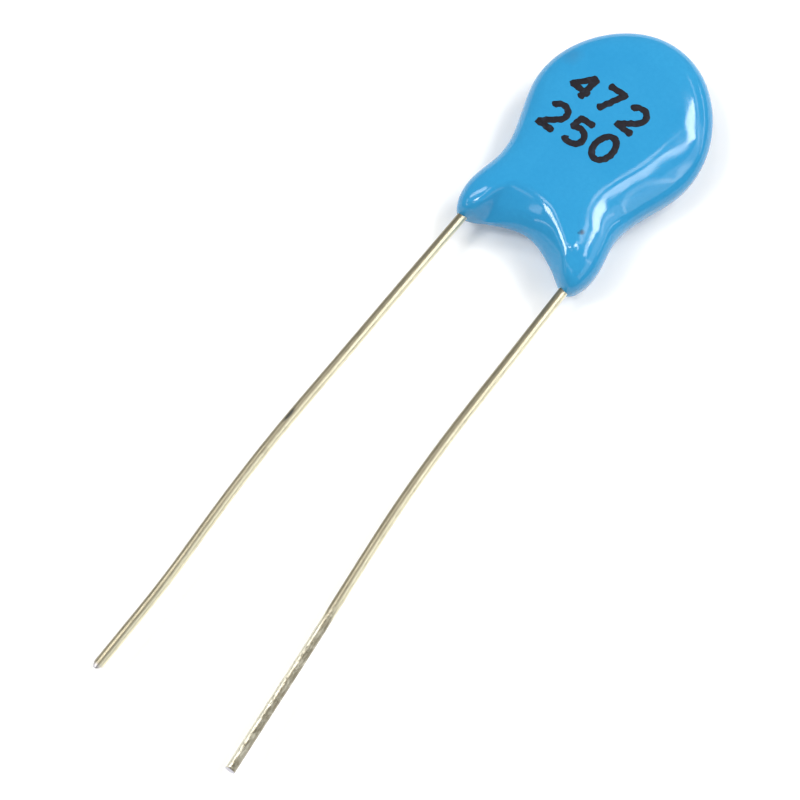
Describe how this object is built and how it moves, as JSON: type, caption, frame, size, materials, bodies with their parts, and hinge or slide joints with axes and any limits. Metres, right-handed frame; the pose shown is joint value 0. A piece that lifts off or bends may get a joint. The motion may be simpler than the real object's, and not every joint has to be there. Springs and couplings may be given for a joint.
{
  "type": "ceramic disc capacitor",
  "caption": "Round ceramic disc capacitor in a glossy blue epoxy coating that runs down over two long parallel tinned wires.",
  "frame": {"origin": "on the flat back face of the coating, behind the centre of the round ceramic plate", "axes": "+Z out of the marked front face; +Y away from the wires, along the part's length; +X from the left wire to the right one, seen from the front with the wires down"},
  "size_m": [0.012, 0.0496, 0.0037],
  "materials": {
    "epoxy": "glossy blue dipped epoxy",
    "tinned_wire": "bright tin plate, faintly warm",
    "ceramic": "matt fired barium titanate",
    "silver": "matt fired silver",
    "solder": "satin solder",
    "ink": "matt black stamping ink"
  },
  "bodies": {
    "root": {"coating": "epoxy", "ceramic_disc": "ceramic", "front_electrode": "silver", "back_electrode": "silver", "front_solder": "solder", "back_solder": "solder", "left_lead": "tinned_wire", "right_lead": "tinned_wire"}
  },
  "joints": []
}
